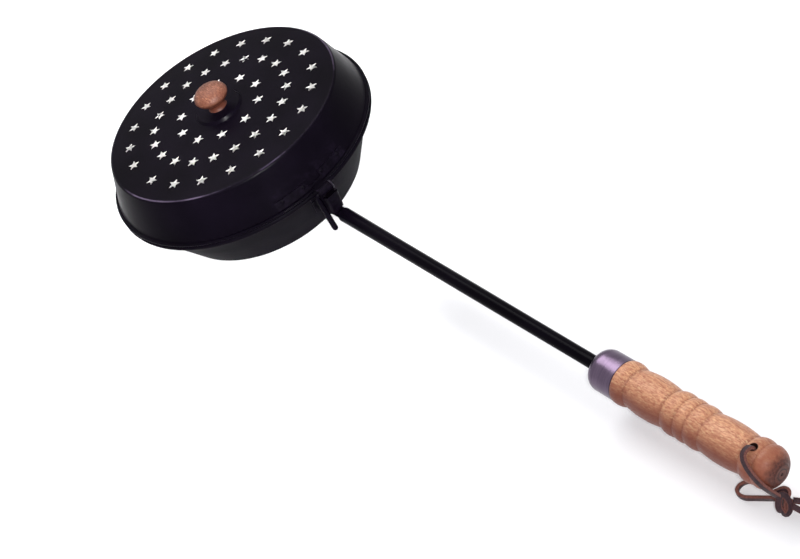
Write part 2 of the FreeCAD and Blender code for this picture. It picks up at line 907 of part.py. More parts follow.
# The end knob, measured back from the grip's end.
GRIP_KNOB = [(9.6, 14.3, 10.5), (0.9, 7.6, 2.4)]


def make_grip():
    """Turned wood: collar, long swell, three beads, second swell, a short bead and an end knob."""
    body = new_body("grip")
    sketch = new_sketch(body, "XZ_Plane", along_handle())
    tenon = "(ferrule_start + ferrule_shoulder + 0.8)"
    bore_end = "tube_end + 1"
    add_outline(
        sketch,
        [
            (tenon, "tube_radius"),
            (tenon, "grip_tenon_radius"),
            ("ferrule_end", "grip_tenon_radius"),
            ("ferrule_end", "ferrule_radius", "13"),
            *[(f"ferrule_end + {along}", radius, str(arc)) for along, radius, arc in GRIP_SWELLS],
            *[(f"grip_end - {back}", radius, str(arc)) for back, radius, arc in GRIP_KNOB],
            ("grip_end", 5.8),
            ("grip_end", 1.2),
            ("grip_end - 1.6", 0),
            (bore_end, 0),
            (bore_end, "tube_radius"),
        ],
    )
    turn(body, sketch, "H_Axis")
    hole = new_sketch(body, "XY_Plane", Placement(Vector(0, 0, size("handle_height")), Rotation()))
    add_circle(hole, "thong_hole_x", 0, "thong_hole_radius")
    cut_through(body, hole, "4*grip_tenon_radius")
    cut_grip_pin_hole(body)
    return body


def make_grip_pin():
    body = new_body("grip_pin")
    sketch = new_sketch(body, "XZ_Plane", along_handle())
    add_circle(sketch, "grip_pin_x", 0, "grip_pin_radius")
    pad(body, sketch, "2*grip_tenon_radius - 0.8", both_sides=True)
    return body


# ---------------------------------------------------------------- leather thong

UPPER_STRAND = [
    (572.4, 0.0, 34.5),
    (572.4, 0.0, 43.0),
    (572.2, -1.4, 52.6),
    (571.4, -9.1, 51.2),
    (578.0, -12.9, 45.7),
    (587.1, -14.3, 39.0),
    (590.8, -11.2, 29.8),
    (589.6, -7.6, 20.6),
]
LOWER_STRAND = [
    (572.4, 0.0, 34.5),
    (572.4, 0.0, 25.4),
    (570.8, -0.9, 15.6),
    (562.9, -3.8, 9.0),
    (556.5, -7.4, 5.6),
    (556.9, -13.4, 4.6),
    (563.3, -14.6, 4.2),
    (569.8, -10.4, 4.4),
    (576.6, -7.6, 6.6),
    (583.2, -6.2, 10.4),
]
LONG_TAIL = [
    (594.0, -3.8, 8.8),
    (601.8, -2.8, 7.4),
    (611.4, 0.6, 2.6),
    (621.2, -2.2, 1.9),
    (631.0, 1.4, 1.9),
]
SHORT_TAIL = [
    (592.6, -0.5, 9.4),
    (599.4, 3.2, 8.8),
    (608.8, 8.4, 2.6),
    (617.6, 7.2, 1.9),
    (626.4, 11.0, 1.9),
]
KNOT_CENTRE = (589.4, -5.4, 11.4)
KNOT_REACH = (6.6, 6.2, 10.4)


def cord_tube(name, route):
    """A round cord of straight runs joined by tangent arcs, as large as the runs allow."""
    points = [Vector(*point) for point in route]
    edges = []
    radii = []
    here = points[0]
    for before, corner, after in zip(points, points[1:], points[2:]):
        arriving = (corner - before).normalize()
        leaving = (after - corner).normalize()
        turn_angle = arriving.getAngle(leaving)
        reach = 0.45 * min((corner - before).Length, (after - corner).Length)
        radii.append(reach / math.tan(turn_angle / 2))
        arc_start = corner - arriving * reach
        arc_end = corner + leaving * reach
        bisector = (leaving - arriving).normalize()
        middle = corner + bisector * radii[-1] * (1 / math.cos(turn_angle / 2) - 1)
        edges.append(Part.LineSegment(here, arc_start).toShape())
        edges.append(Part.Arc(arc_start, middle, arc_end).toShape())
        here = arc_end
    edges.append(Part.LineSegment(here, points[-1]).toShape())
    path = Part.Wire(edges)
    section = Part.Wire(Part.makeCircle(size("thong_radius"), points[0], (points[1] - points[0])))
    shape = path.makePipeShell([section], True, True)
    expected = math.pi * size("thong_radius") ** 2 * path.Length
    smallest = min(radii) / (2 * size("thong_radius"))
    print(f"{name}: length {path.Length:.1f}, radii {[round(r, 1) for r in radii]},"
          f" least {smallest:.1f} diameters, volume {shape.Volume / expected:.4f} of section times length")
    feature = doc.addObject("Part::Feature", name)
    feature.Label = name
    feature.Shape = shape
    feature.Placement = Placement()
    parts[name] = feature


def make_thong_knot():
    knot = doc.addObject("Part::Ellipsoid", "thong_knot")
    knot.Label = "thong_knot"
    knot.Radius2, knot.Radius3, knot.Radius1 = KNOT_REACH
    knot.Angle1 = -90
    knot.Angle2 = 90
    knot.Angle3 = 360
    knot.Placement = Placement(Vector(*KNOT_CENTRE), Rotation())
    parts["thong_knot"] = knot


# ---------------------------------------------------------------- build and write


def build():
    make_pan()
    make_lid()
    make_lid_knob()
    make_knob_screw()
    make_knob_washer()
    make_hinge_strap()
    make_strap_rivets()
    make_handle_bracket()
    make_bracket_rivets()
    make_hinge_pin()
    make_hinge_pin_clip()
    make_handle_tube()
    make_tube_rivet()
    make_ferrule()
    make_grip()
    make_grip_pin()
    cord_tube("thong_upper_strand", UPPER_STRAND)
    cord_tube("thong_lower_strand", LOWER_STRAND)
    cord_tube("thong_long_tail", LONG_TAIL)
    cord_tube("thong_short_tail", SHORT_TAIL)
    make_thong_knot()
    doc.recompute()


def check_and_write():
    for item in doc.Objects:
        faults = {"Invalid", "Error"} & set(item.State)
        if faults:
            raise RuntimeError(f"{item.Name} of {item.getParentGeoFeatureGroup()}: {faults}")
    for name, part in parts.items():
        if part.Shape.isNull() or not part.Shape.isValid() or not part.Shape.Solids:
            raise RuntimeError(f"{name} is not a valid solid")
    os.makedirs("parts", exist_ok=True)
    for name, part in parts.items():
        part.Shape.exportStep(f"parts/{name}.step")
        box = part.Shape.BoundBox
        print(f"{name}: {len(part.Shape.Solids)} solid(s), {part.Shape.Volume:.0f} mm3, x {box.XMin:.1f}.."
              f"{box.XMax:.1f} y {box.YMin:.1f}..{box.YMax:.1f} z {box.ZMin:.1f}..{box.ZMax:.1f}")


build()
check_and_write()
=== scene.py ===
"""Looks of the long-handled popcorn popper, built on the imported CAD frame. Metres, +Z up."""

import math
import random
from collections import namedtuple

import bpy
from mathutils import Matrix, Vector


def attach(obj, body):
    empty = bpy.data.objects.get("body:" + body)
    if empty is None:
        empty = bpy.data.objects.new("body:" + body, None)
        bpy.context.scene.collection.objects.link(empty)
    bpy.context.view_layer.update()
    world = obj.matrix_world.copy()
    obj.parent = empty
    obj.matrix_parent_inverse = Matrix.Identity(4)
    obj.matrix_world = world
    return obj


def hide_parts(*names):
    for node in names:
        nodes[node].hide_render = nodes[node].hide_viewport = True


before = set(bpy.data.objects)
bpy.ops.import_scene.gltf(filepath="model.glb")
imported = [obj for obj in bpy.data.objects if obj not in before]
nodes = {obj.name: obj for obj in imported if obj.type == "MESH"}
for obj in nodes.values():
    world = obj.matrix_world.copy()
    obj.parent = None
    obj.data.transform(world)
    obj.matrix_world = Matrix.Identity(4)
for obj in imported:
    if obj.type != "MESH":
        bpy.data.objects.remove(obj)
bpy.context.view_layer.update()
MM = 0.001


# ---------------------------------------------------------------- camera

# Fitted to the photo's rim, lid, handle line and grip.
CAMERA_PLACE = Vector((1.0191, -0.2897, 0.7626))
CAMERA_RIGHT = Vector((0.6001, 0.7024, -0.3828))
CAMERA_UP = Vector((-0.3726, 0.6688, 0.6433))
CAMERA_BACK = CAMERA_RIGHT.cross(CAMERA_UP).normalized()
LENS_MM = 65.52
SENSOR_MM = 36.0
CLIP_NEAR = 0.01
CLIP_FAR = 50.0


def link(piece):
    bpy.context.scene.collection.objects.link(piece)


def make_camera():
    data = bpy.data.cameras.new("camera")
    data.lens = LENS_MM
    data.sensor_width = SENSOR_MM
    data.clip_start = CLIP_NEAR
    data.clip_end = CLIP_FAR
    camera = bpy.data.objects.new("camera", data)
    link(camera)
    right = CAMERA_UP.cross(CAMERA_BACK).normalized()
    up = CAMERA_BACK.cross(right)
    turned = Matrix((right, up, CAMERA_BACK)).transposed().to_4x4()
    camera.matrix_world = Matrix.Translation(CAMERA_PLACE) @ turned
    bpy.context.scene.camera = camera


# ---------------------------------------------------------------- material helpers

EVEN = (1, 1, 1)


class Nodes:
    """A material's node tree with short calls; the shader is its Principled BSDF."""

    def __init__(self, name):
        self.material = bpy.data.materials.new(name)
        self.material.use_nodes = True
        self.tree = self.material.node_tree
        self.shader = self.tree.nodes["Principled BSDF"]

    def add(self, kind, **settings):
        node = self.tree.nodes.new(kind)
        for name, value in settings.items():
            setattr(node, name, value)
        return node

    def feed(self, value, socket):
        if isinstance(value, bpy.types.NodeSocket):
            self.tree.links.new(value, socket)
        else:
            socket.default_value = value

    def math(self, operation, first, second=0.0, clamp=False):
        node = self.add("ShaderNodeMath", operation=operation, use_clamp=clamp)
        self.feed(first, node.inputs[0])
        self.feed(second, node.inputs[1])
        return node.outputs[0]

    def times(self, first, second):
        return self.math("MULTIPLY", first, second)

    def plus(self, first, second):
        return self.math("ADD", first, second)

    def minus(self, first, second):
        return self.math("SUBTRACT", first, second)

    def below(self, value, limit):
        return self.math("LESS_THAN", value, limit)

    def above(self, value, limit):
        return self.math("GREATER_THAN", value, limit)

    def distance(self, across, up):
        """How far away a point is that lies across and up by these two values."""
        squares = self.plus(self.times(across, across), self.times(up, up))
        return self.math("SQRT", squares)

    def place(self, stretch=EVEN, offset=(0, 0, 0)):
        """The piece's own coordinates."""
        coordinates = self.add("ShaderNodeTexCoord")
        mapping = self.add("ShaderNodeMapping")
        mapping.inputs["Scale"].default_value = stretch
        mapping.inputs["Location"].default_value = offset
        self.tree.links.new(coordinates.outputs["Object"], mapping.inputs["Vector"])
        return mapping.outputs[0]

    def split(self, vector):
        node = self.add("ShaderNodeSeparateXYZ")
        self.tree.links.new(vector, node.inputs[0])
        return node.outputs

    def noise(self, place, scale, detail=3.0, roughness=0.5, distortion=0.0):
        node = self.add("ShaderNodeTexNoise")
        self.tree.links.new(place, node.inputs["Vector"])
        node.inputs["Scale"].default_value = scale
        node.inputs["Detail"].default_value = detail
        node.inputs["Roughness"].default_value = roughness
        node.inputs["Distortion"].default_value = distortion
        return node.outputs[0]

    def spread(self, value, low, high, new_low=0.0, new_high=1.0):
        """The part of value from low to high, spread from new_low to new_high."""
        node = self.add("ShaderNodeMapRange")
        self.feed(value, node.inputs[0])
        for socket, number in zip(node.inputs[1:5], (low, high, new_low, new_high)):
            socket.default_value = number
        return node.outputs[0]

    def patches(self, low, high, stretch=EVEN, offset=(0, 0, 0), **noise):
        """Noise on the piece, 0 up to low and 1 from high."""
        return self.spread(self.noise(self.place(stretch, offset), **noise), low, high)

    def mix(self, factor, first, second):
        node = self.add("ShaderNodeMix", data_type="RGBA")
        self.feed(factor, node.inputs[0])
        self.feed(first, node.inputs[6])
        self.feed(second, node.inputs[7])
        return node.outputs[2]

    def pointiness(self):
        return self.add("ShaderNodeNewGeometry").outputs["Pointiness"]

    def bump(self, height, strength, distance):
        node = self.add("ShaderNodeBump")
        node.inputs["Strength"].default_value = strength
        node.inputs["Distance"].default_value = distance
        self.tree.links.new(height, node.inputs["Height"])
        self.tree.links.new(node.outputs[0], self.shader.inputs["Normal"])

    def finish(self, color, roughness, **constants):
        self.feed(color, self.shader.inputs["Base Color"])
        self.feed(roughness, self.shader.inputs["Roughness"])
        for name, value in constants.items():
            self.shader.inputs[name.replace("_", " ")].default_value = value
        return self.material


def rgb(red, green, blue):
    return (red, green, blue, 1.0)


# ---------------------------------------------------------------- enamel

ENAMEL = rgb(0.0013, 0.0008, 0.0021)
ENAMEL_WORN = rgb(0.0075, 0.0050, 0.0110)
LINING = rgb(0.70, 0.69, 0.68)
LINING_SHADE = rgb(0.58, 0.565, 0.55)
ENAMEL_SPECULAR = 0.02
CLOUD_SHARE = 0.25
WEAR_SHARE = 0.6
RIPPLE_SHARE = 0.7
GRAIN_STRENGTH = 0.10
GRAIN_HEIGHT = 0.6 * MM
SMEAR_STRETCH = (1, 1, 2.2)
# Roughness from and to: drawn tube, lid, pressed sheet fittings, pan.
TUBE_GLOSS = (0.17, 0.27)
LID_GLOSS = (0.28, 0.38)
FITTING_GLOSS = (0.45, 0.55)
PAN_GLOSS = (0.50, 0.60)

# The lid's top edge, paler in broken places: rubbed enamel together with a painted highlight along
# the edge.
ENAMEL_RUBBED_HIGHLIGHT = rgb(0.100, 0.077, 0.120)
RUB_HIGHLIGHT_INSIDE = 104.3 * MM
RUB_HIGHLIGHT_MIDDLE = 105.2 * MM
RUB_HIGHLIGHT_OUTSIDE = 106.0 * MM
RUB_HIGHLIGHT_ABOVE = 92.0 * MM
RUB_HIGHLIGHT_LEAST = 0.04
RUB_HIGHLIGHT_MOST = 0.85

# The pale lining: faces that turn inwards by more than this share, inside these radii.
FACES_INWARD = -0.3
PAN_BEAD_INSIDE = 118.4 * MM
LID_LIP_INSIDE = 118.6 * MM
# The bare cut edges of the punched stars: upright faces in this part of the lid's top.
STARS_INSIDE = 30.0 * MM
STARS_OUTSIDE = 96.0 * MM
STARS_ABOVE = 90.0 * MM
UPRIGHT = 0.5


def enamel_color(n):
    """Black with faint cloudy variation and slightly paler edges."""
    clouds = n.patches(0.35, 0.75, scale=22, detail=4)
    edges = n.spread(n.pointiness(), 0.53, 0.62)
    scuffs = n.patches(0.45, 0.7, scale=260, detail=5, roughness=0.7)
    worn = n.times(edges, n.times(scuffs, WEAR_SHARE))
    shade = n.math("ADD", n.times(clouds, CLOUD_SHARE), worn, clamp=True)
    return n.mix(shade, ENAMEL, ENAMEL_WORN)


def enamel_gloss(n, low, high):
    smears = n.noise(n.place(SMEAR_STRETCH), scale=34, detail=5, roughness=0.6)
    return n.spread(smears, 0.3, 0.75, low, high)


def enamel_grain(n):
    """Orange-peel ripple with a finer speckle on it."""
    ripple = n.noise(n.place(), scale=520, detail=2)
    speckle = n.noise(n.place(), scale=1900, detail=2)
    height = n.plus(n.times(ripple, RIPPLE_SHARE), n.times(speckle, 1 - RIPPLE_SHARE))
    n.bump(height, GRAIN_STRENGTH, GRAIN_HEIGHT)


def make_enamel(name, gloss):
    n = Nodes(name)
    enamel_grain(n)
    return n.finish(enamel_color(n), enamel_gloss(n, *gloss), Specular_IOR_Level=ENAMEL_SPECULAR)


def rubbed_and_highlit_edge(n, radius, height):
    """A broken narrow ring along the lid's top edge: rubbed enamel and a painted highlight."""
    ring = n.times(
        n.spread(radius, RUB_HIGHLIGHT_INSIDE, RUB_HIGHLIGHT_MIDDLE), n.spread(radius, RUB_HIGHLIGHT_OUTSIDE, RUB_HIGHLIGHT_MIDDLE)
    )
    breaks = n.noise(n.place(), scale=11, detail=5, roughness=0.6)
    patchy = n.spread(breaks, 0.46, 0.60, RUB_HIGHLIGHT_LEAST, RUB_HIGHLIGHT_MOST)
    return n.times(ring, n.times(patchy, n.above(height, RUB_HIGHLIGHT_ABOVE)))


def lined_enamel(name, is_lining, gloss):
    """Black enamel outside, pale where is_lining(n, radius, height, outward, upward) is 1."""
    n = Nodes(name)
    x, y, height = n.split(n.place())
    radius = n.distance(x, y)
    across, along, upward = n.split(n.add("ShaderNodeTexCoord").outputs["Normal"])
    outward = n.math("DIVIDE", n.plus(n.times(x, across), n.times(y, along)), radius)
    pale = n.mix(n.patches(0.3, 0.8, scale=30, detail=4), LINING, LINING_SHADE)
    # Along the lid's top edge: rubbed enamel with a painted highlight.
    black = n.mix(rubbed_and_highlit_edge(n, radius, height), enamel_color(n), ENAMEL_RUBBED_HIGHLIGHT)
    color = n.mix(is_lining(n, radius, height, outward, upward), black, pale)
    enamel_grain(n)
    return n.finish(color, enamel_gloss(n, *gloss), Specular_IOR_Level=ENAMEL_SPECULAR)


def is_pan_lining(n, radius, _height, outward, upward):
    """Faces that look up and towards the middle, short of the rolled bead."""
    looks_in = n.below(n.minus(outward, upward), FACES_INWARD)
    return n.times(looks_in, n.below(radius, PAN_BEAD_INSIDE))


def is_lid_lining(n, radius, height, outward, upward):
    """Faces that look down and towards the middle, short of the lip, and the stars' cut edges."""
    looks_in = n.below(n.plus(outward, upward), FACES_INWARD)
    lining = n.times(looks_in, n.below(radius, LID_LIP_INSIDE))
    among_stars = n.times(n.below(radius, STARS_OUTSIDE), n.above(radius, STARS_INSIDE))
    in_top = n.times(among_stars, n.above(height, STARS_ABOVE))
    cut_edges = n.times(n.below(n.math("ABSOLUTE", upward), UPRIGHT), in_top)
    return n.math("MAXIMUM", lining, cut_edges)


# ---------------------------------------------------------------- wood

# pith is the rings' middle in Y and Z, and rings is their number per metre.
Wood = namedtuple("Wood", "name light dark groove glint pith rings")
GRIP_WOOD = Wood(
    name="grip_wood",
    light=rgb(0.74, 0.385, 0.215),
    dark=rgb(0.29, 0.085, 0.052),
    groove=rgb(0.15, 0.040, 0.025),
    glint=rgb(0.84, 0.56, 0.31),
    pith=(0.006, 0.058),
    rings=330.0,
)
KNOB_WOOD = Wood(
    name="knob_wood",
    light=rgb(0.175, 0.070, 0.042),
    dark=rgb(0.068, 0.022, 0.014),
    groove=rgb(0.048, 0.014, 0.009),
    glint=rgb(0.34, 0.170, 0.110),
    pith=(0.004, 0.15),
    rings=420.0,
)
# Each pattern's scale along the grain and across it: a small first number draws it out.
BEND_STRETCH = (0.12, 1, 1)
PORE_STRETCH = (0.06, 1, 1)
FLECK_STRETCH = (0.28, 1, 1)
FIGURE_STRETCH = (0.4, 1, 1)
GLINT_STRETCH = (0.35, 1, 1)
GLINT_OFFSET = (0.3, 0.1, 0.2)
RING_WOBBLE = 11.0 * MM
LATE_WOOD_POWER = 3.0
# How strongly each part of the figure shows.
LATE_SHARE = 0.22
FIGURE_SHARE = 0.42
FLECK_SHARE = 0.62
SHADE_SHARE = 0.22
PORE_SHARE = 0.5
CREASE_SHARE = 0.9
GLINT_SHARE = 0.5
RAISED_FLECKS = 0.4
WOOD_BUMP_STRENGTH = 0.25
WOOD_BUMP_HEIGHT = 0.2 * MM
WOOD_GLOSS = (0.36, 0.5)


def make_wood(wood):
    """Turned wood with its grain along X: rings about an off-centre pith, flecks, dark grooves."""
    n = Nodes(wood.name)
    bend = n.noise(n.place(BEND_STRETCH), scale=14, detail=3, roughness=0.55)
    wobble = n.times(n.minus(bend, 0.5), RING_WOBBLE)
    _, y, z = n.split(n.place())
    reach = n.distance(n.minus(y, wood.pith[0]), n.minus(z, wood.pith[1]))
    rings = n.math("FRACT", n.times(n.plus(reach, wobble), wood.rings))
    late = n.math("POWER", rings, LATE_WOOD_POWER)
    pores = n.patches(0.52, 0.72, PORE_STRETCH, scale=1500, detail=3, roughness=0.65)
    flecks = n.patches(0.42, 0.60, FLECK_STRETCH, scale=900, detail=4, roughness=0.7)
    figure = n.patches(
        0.36, 0.66, FIGURE_STRETCH, scale=150, detail=5, roughness=0.7, distortion=0.15
    )
    shades = n.patches(0.3, 0.75, BEND_STRETCH, scale=26, detail=3)
    creases = n.spread(n.pointiness(), 0.498, 0.470)
    glints = n.patches(
        0.52, 0.66, GLINT_STRETCH, GLINT_OFFSET, scale=760, detail=4, roughness=0.7
    )
    tone = wood.light
    for share, strength, color in (
        (late, LATE_SHARE, wood.dark),
        (figure, FIGURE_SHARE, wood.dark),
        (flecks, FLECK_SHARE, wood.dark),
        (shades, SHADE_SHARE, wood.groove),
        (pores, PORE_SHARE, wood.groove),
        (creases, CREASE_SHARE, wood.groove),
        (glints, GLINT_SHARE, wood.glint),
    ):
        tone = n.mix(n.times(share, strength), tone, color)
    n.bump(n.minus(n.times(flecks, RAISED_FLECKS), pores), WOOD_BUMP_STRENGTH, WOOD_BUMP_HEIGHT)
    gloss = n.spread(flecks, 0.0, 1.0, *WOOD_GLOSS)
    return n, tone, gloss


GRIP_SPECULAR = 0.22
GRIP_AXIS_Z = 34.5 * MM
# Painted shade: reddish dark low on the grip's camera side, as a sloping height z + lean * y.
GRIP_UNDERSIDE_SHADE = rgb(0.155, 0.038, 0.022)
UNDERSIDE_SHADE_LEAN = 0.9
UNDERSIDE_SHADE_STARTS = 46.0 * MM
UNDERSIDE_SHADE_FULL = 28.5 * MM
UNDERSIDE_SHADE_SHARE = 0.95
# The rounded end, darker because end grain takes in more finish.
BALL = rgb(0.245, 0.072, 0.042)
BALL_STARTS = 564.0 * MM
BALL_FULL = 582.0 * MM
BALL_SHARE = 0.82
# The thong's cross hole: painted shade on its wall and round its edge.
HOLE_SHADE = rgb(0.028, 0.011, 0.009)
HOLE_X = 572.4 * MM
HOLE_STARTS = 3.3 * MM
HOLE_FULL = 2.78 * MM
# Painted shadow: the dark line that the ferrule's edge casts where the wood meets it.
SEAM_SHADOW = rgb(0.035, 0.012, 0.012)
SEAM_STARTS = 461.2 * MM
SEAM_FULL = 460.6 * MM
# The end face with its dark rings, which turn END_RING_TURN radians per metre of radius.
END_LIGHT = rgb(0.120, 0.038, 0.026)
END_DARK = rgb(0.060, 0.019, 0.015)
END_RING = rgb(0.028, 0.010, 0.009)
END_STARTS = 583.5 * MM
END_FULL = 586.0 * MM
END_EDGE = 14.8 * MM
END_INSIDE = 11.2 * MM
END_RAGGED = 4.0 * MM
END_RING_TURN = 2100
END_RINGS_OUTSIDE = 7.8 * MM
END_RINGS_INSIDE = 5.5 * MM


def end_grain(n, x, from_axis):
    """The end face's share and colour."""
    ragged = n.plus(from_axis, n.times(n.noise(n.place(), scale=300, detail=3), END_RAGGED))
    share = n.times(n.spread(x, END_STARTS, END_FULL), n.spread(ragged, END_EDGE, END_INSIDE))
    rings = n.spread(n.math("SINE", n.times(from_axis, END_RING_TURN)), 0.35, 0.95)
    dark_rings = n.times(rings, n.spread(from_axis, END_RINGS_OUTSIDE, END_RINGS_INSIDE))
    flecks = n.patches(0.35, 0.65, scale=700, detail=3, roughness=0.6)
    return share, n.mix(dark_rings, n.mix(flecks, END_LIGHT, END_DARK), END_RING)


def make_grip_wood():
    n, tone, gloss = make_wood(GRIP_WOOD)
    x, y, z = n.split(n.place())
    # Painted shade low on the grip's camera side, along a slope across the grip.
    lean = n.plus(z, n.times(y, UNDERSIDE_SHADE_LEAN))
    tone = n.mix(n.spread(lean, UNDERSIDE_SHADE_STARTS, UNDERSIDE_SHADE_FULL, 0.0, UNDERSIDE_SHADE_SHARE), tone, GRIP_UNDERSIDE_SHADE)
    tone = n.mix(n.spread(x, BALL_STARTS, BALL_FULL, 0.0, BALL_SHARE), tone, BALL)
    from_hole = n.distance(n.minus(x, HOLE_X), y)
    # Painted shade in and round the thong hole.
    tone = n.mix(n.spread(from_hole, HOLE_STARTS, HOLE_FULL), tone, HOLE_SHADE)
    # Painted shadow of the ferrule's edge on the wood.
    tone = n.mix(n.spread(x, SEAM_STARTS, SEAM_FULL), tone, SEAM_SHADOW)
    end_share, end_tone = end_grain(n, x, n.distance(y, n.minus(z, GRIP_AXIS_Z)))
    return n.finish(n.mix(end_share, tone, end_tone), gloss, Specular_IOR_Level=GRIP_SPECULAR)


KNOB_SPECULAR = 0.12
KNOB_LOW = rgb(0.046, 0.013, 0.008)
KNOB_PALE_Z = 119.5 * MM
KNOB_DARK_Z = 108.0 * MM
KNOB_LOW_SHARE = 0.95


def make_knob_wood():
    """The grip's kind of wood, darker towards the foot."""
    n, tone, gloss = make_wood(KNOB_WOOD)
    _, _, z = n.split(n.place())
    tone = n.mix(n.spread(z, KNOB_PALE_Z, KNOB_DARK_Z, 0.0, KNOB_LOW_SHARE), tone, KNOB_LOW)
    return n.finish(tone, gloss, Specular_IOR_Level=KNOB_SPECULAR)


# ---------------------------------------------------------------- bare metal

FERRULE_DARK = rgb(0.066, 0.045, 0.075)
FERRULE_LIGHT = rgb(0.150, 0.110, 0.160)
# Painted shadow darkening the ferrule's open edge, beside the wood's dark seam.
FERRULE_EDGE_SHADOW = rgb(0.03, 0.02, 0.035)
FERRULE_EDGE_STARTS = 459.7 * MM
FERRULE_EDGE_FULL = 460.4 * MM
BRUSHED_SHARE = 0.6
BRUSH_STRENGTH = 0.15
BRUSH_HEIGHT = 0.1 * MM
# Scales along the ferrule's axis and round it.
BRUSH_STRETCH = (1, 0.02, 0.02)
BAND_STRETCH = (1, 0.1, 0.1)
FERRULE_GLOSS = (0.26, 0.36)
FERRULE_ANISOTROPY = 0.5
STEEL_GLOSS = (0.25, 0.42)


def make_ferrule_steel():
    """Drawn steel, brushed round the cup, with a faint violet tint and painted shadow darkening
    its open edge.
    """
    n = Nodes("ferrule_steel")
    around = n.noise(n.place(BRUSH_STRETCH), scale=2600, detail=4, roughness=0.7)
    broad = n.noise(n.place(BAND_STRETCH), scale=120, detail=3)
    lines = n.plus(n.times(around, BRUSHED_SHARE), n.times(broad, 1 - BRUSHED_SHARE))
    color = n.mix(n.spread(lines, 0.3, 0.7), FERRULE_DARK, FERRULE_LIGHT)
    x, _, _ = n.split(n.place())
    # Painted shadow at the open edge.
    color = n.mix(n.spread(x, FERRULE_EDGE_STARTS, FERRULE_EDGE_FULL), color, FERRULE_EDGE_SHADOW)
    n.bump(around, BRUSH_STRENGTH, BRUSH_HEIGHT)
    gloss = n.spread(lines, 0.3, 0.7, *FERRULE_GLOSS)
    return n.finish(color, gloss, Metallic=1.0, Anisotropic=FERRULE_ANISOTROPY)


def make_hazy_steel(name, dark, light):
    n = Nodes(name)
    haze = n.noise(n.place(), scale=700, detail=4)
    gloss = n.spread(haze, 0.3, 0.7, *STEEL_GLOSS)
    return n.finish(n.mix(haze, dark, light), gloss, Metallic=1.0)


# ---------------------------------------------------------------- leather thong

LEATHER_SPECULAR = 0.2
FACE_DARK = rgb(0.018, 0.0075, 0.012)
FACE_LIGHT = rgb(0.050, 0.020, 0.024)
CUT_DARK = rgb(0.085, 0.028, 0.024)
CUT_LIGHT = rgb(0.27, 0.110, 0.088)
FIBRE_STRENGTH = 0.45
FIBRE_HEIGHT = 0.3 * MM
CRACK_SHARE = 0.35
LEATHER_GLOSS = (0.42, 0.85)


def make_leather():
    """Dark smooth faces and paler, rough cut edges; the mesh's cut_edge attribute says which."""
    n = Nodes("thong_leather")
    edge = n.add("ShaderNodeAttribute", attribute_name="cut_edge").outputs["Fac"]
    fibres = n.patches(0.3, 0.7, scale=1400, detail=4, roughness=0.7)
    mottling = n.patches(0.3, 0.7, scale=260, detail=3)
    face = n.mix(mottling, FACE_DARK, FACE_LIGHT)
    cut = n.mix(fibres, CUT_DARK, CUT_LIGHT)
    cracks = n.spread(fibres, 0.75, 1.0, 0.0, CRACK_SHARE)
    color = n.mix(n.math("MAXIMUM", edge, cracks), face, cut)
    n.bump(fibres, FIBRE_STRENGTH, FIBRE_HEIGHT)
    gloss = n.spread(edge, 0.0, 1.0, *LEATHER_GLOSS)
    return n.finish(color, gloss, Specular_IOR_Level=LEATHER_SPECULAR)


ROUTE_RESOLUTION = 24


def spline_points(points, name):
    """Points read along the smooth curve that a route's points steer."""
    data = bpy.data.curves.new(name + "_route", "CURVE")
    data.dimensions = "3D"
    data.resolution_u = ROUTE_RESOLUTION
    spline = data.splines.new("NURBS")
    spline.points.add(len(points) - 1)
    for point, place in zip(spline.points, points):
        point.co = (*place, 1.0)
    spline.order_u = 3
    spline.use_endpoint_u = True
    holder = bpy.data.objects.new(name + "_route", data)
    link(holder)
    bpy.context.view_layer.update()
    mesh = bpy.data.meshes.new_from_object(holder)
    path = [vertex.co.copy() for vertex in mesh.vertices]
    bpy.data.objects.remove(holder)
    bpy.data.curves.remove(data)
    bpy.data.meshes.remove(mesh)
    return path


def square_to(direction, tangent):
    """The direction without its part along the tangent."""
    return (direction - tangent * direction.dot(tangent)).normalized()


def face_directions(path, anchor, facing):
    """The lace's broad-face direction at each point, carried along the path from one place."""
    last = len(path) - 1
    tangents = [
        (path[min(i + 1, last)] - path[max(i - 1, 0)]).normalized() for i in range(last + 1)
    ]
    start = min(last, int(anchor * last))
    faces = [None] * (last + 1)
    faces[start] = square_to(Vector(facing), tangents[start])
    for step, stop in ((1, last + 1), (-1, -1)):
        for i in range(start + step, stop, step):
            faces[i] = square_to(faces[i - step], tangents[i])
    return tangents, faces


LACE_WIDTH = 3.8 * MM
LACE_THICKNESS = 2.3 * MM
KNOT_LACE_WIDTH = 4.0 * MM
KNOT_LACE_THICKNESS = 2.6 * MM
LACE_CORNER = 0.45 * MM
CORNER_STEPS = 4
EDGE_FALLOFF = 1.5
RIPPLE_LOW = 0.94
RIPPLE_HIGH = 1.05
RIPPLE_REACH = 3
ROUGH_EDGE = 0.02


def lace_section(width, thickness):
    """Rounded rectangle as (across, out, cut edge share) for each point."""
    section = []
    for side, (sign_a, sign_b) in enumerate(((1, 1), (-1, 1), (-1, -1), (1, -1))):
        for step in range(CORNER_STEPS):
            angle = math.radians(90 * (side + step / (CORNER_STEPS - 1)))
            across = sign_a * (width / 2 - LACE_CORNER) + LACE_CORNER * math.cos(angle)
            out = sign_b * (thickness / 2 - LACE_CORNER) + LACE_CORNER * math.sin(angle)
            section.append((across, out, abs(math.cos(angle)) ** EDGE_FALLOFF))
    return section


